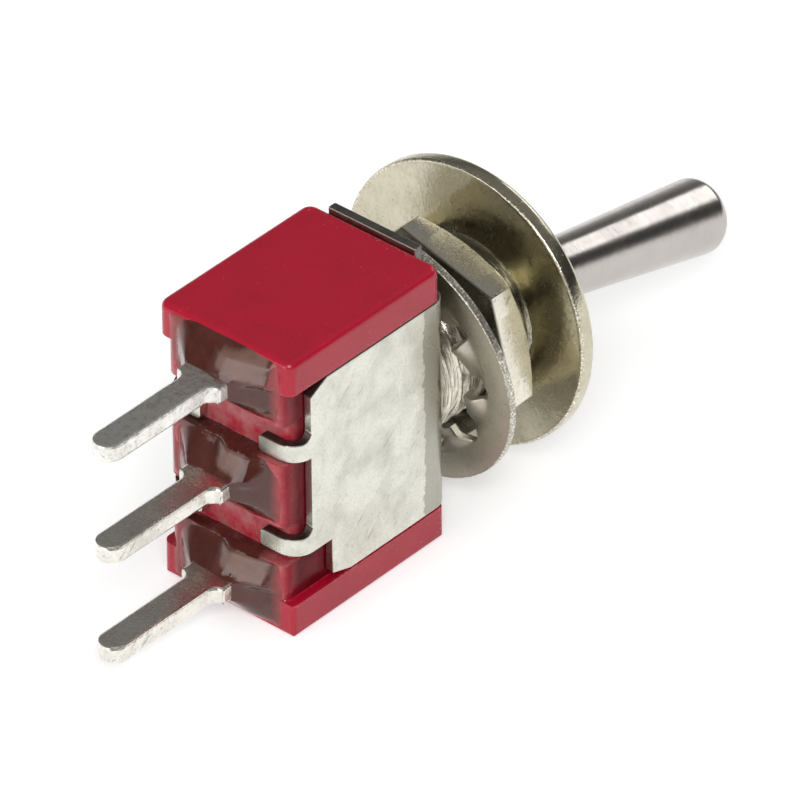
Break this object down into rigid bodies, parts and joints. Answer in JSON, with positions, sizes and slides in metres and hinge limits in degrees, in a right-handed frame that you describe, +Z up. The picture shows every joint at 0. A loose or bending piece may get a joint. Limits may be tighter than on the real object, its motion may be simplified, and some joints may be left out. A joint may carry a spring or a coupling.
{
  "type": "toggle switch",
  "caption": "Miniature toggle switch with a red case, folded metal bracket, threaded bush with nut and washers, tapered lever and straight pins sealed in resin.",
  "frame": {"origin": "on the bush's axis at the bracket's front face, where a panel seats", "axes": "+X along the bush towards the lever, +Z up along the row of pins, pins point along -X"},
  "size_m": [0.0354, 0.0122, 0.0128],
  "materials": {
    "case_red": "moulded, satin",
    "seal_resin": "cast, glossy",
    "bracket_tin": "tin-plated sheet, scuffed",
    "bush_nickel": "nickel-plated, bright",
    "lever_chrome": "satin bright plating",
    "pin_steel": "ground",
    "plunger_nylon": "moulded",
    "spring_steel": "drawn wire",
    "rocker_copper": "stamped strip",
    "contact_silver": "silver",
    "terminal_tin": "tin-plated, mottled",
    "washer_steel": "nickel-plated",
    "nut_nickel": "nickel-plated",
    "face_nickel": "nickel-plated, pebbled"
  },
  "bodies": {
    "switch_body": {"case": "case_red", "bracket": "bracket_tin", "bushing": "bush_nickel", "upper_terminal": "terminal_tin", "centre_terminal": "terminal_tin", "lower_terminal": "terminal_tin", "upper_seal": "seal_resin", "centre_seal": "seal_resin", "lower_seal": "seal_resin", "upper_fixed_contact": "contact_silver", "lower_fixed_contact": "contact_silver", "lock_washer": "washer_steel", "hex_nut": "nut_nickel", "face_washer": "face_nickel"},
    "lever": {"lever": "lever_chrome", "cross_pin": "pin_steel", "plunger_spring": "spring_steel"},
    "plunger": {"plunger": "plunger_nylon"},
    "rocker": {"rocker": "rocker_copper", "upper_moving_contact": "contact_silver", "lower_moving_contact": "contact_silver"}
  },
  "joints": [
    {"name": "lever_tilt", "type": "hinge", "parent": "switch_body", "child": "lever", "pos_m": [0.0059, 0, 0], "axis": [0, -1, 0], "range_deg": [0, 26]},
    {"name": "rocker_tilt", "type": "hinge", "parent": "switch_body", "child": "rocker", "pos_m": [-0.0054, 0, 0], "axis": [0, 1, 0], "range_deg": [0, 16]},
    {"name": "plunger_slide", "type": "slide", "parent": "lever", "child": "plunger", "axis": [0.9744, 0, -0.225], "range_m": [0, 0.0005], "stiffness_N_per_m": 100, "springref_m": -0.002, "deforming": ["plunger_spring"]}
  ],
  "couplings": [
    {"joint": "rocker_tilt", "follows": "lever_tilt", "ratio": 0.61538}
  ]
}
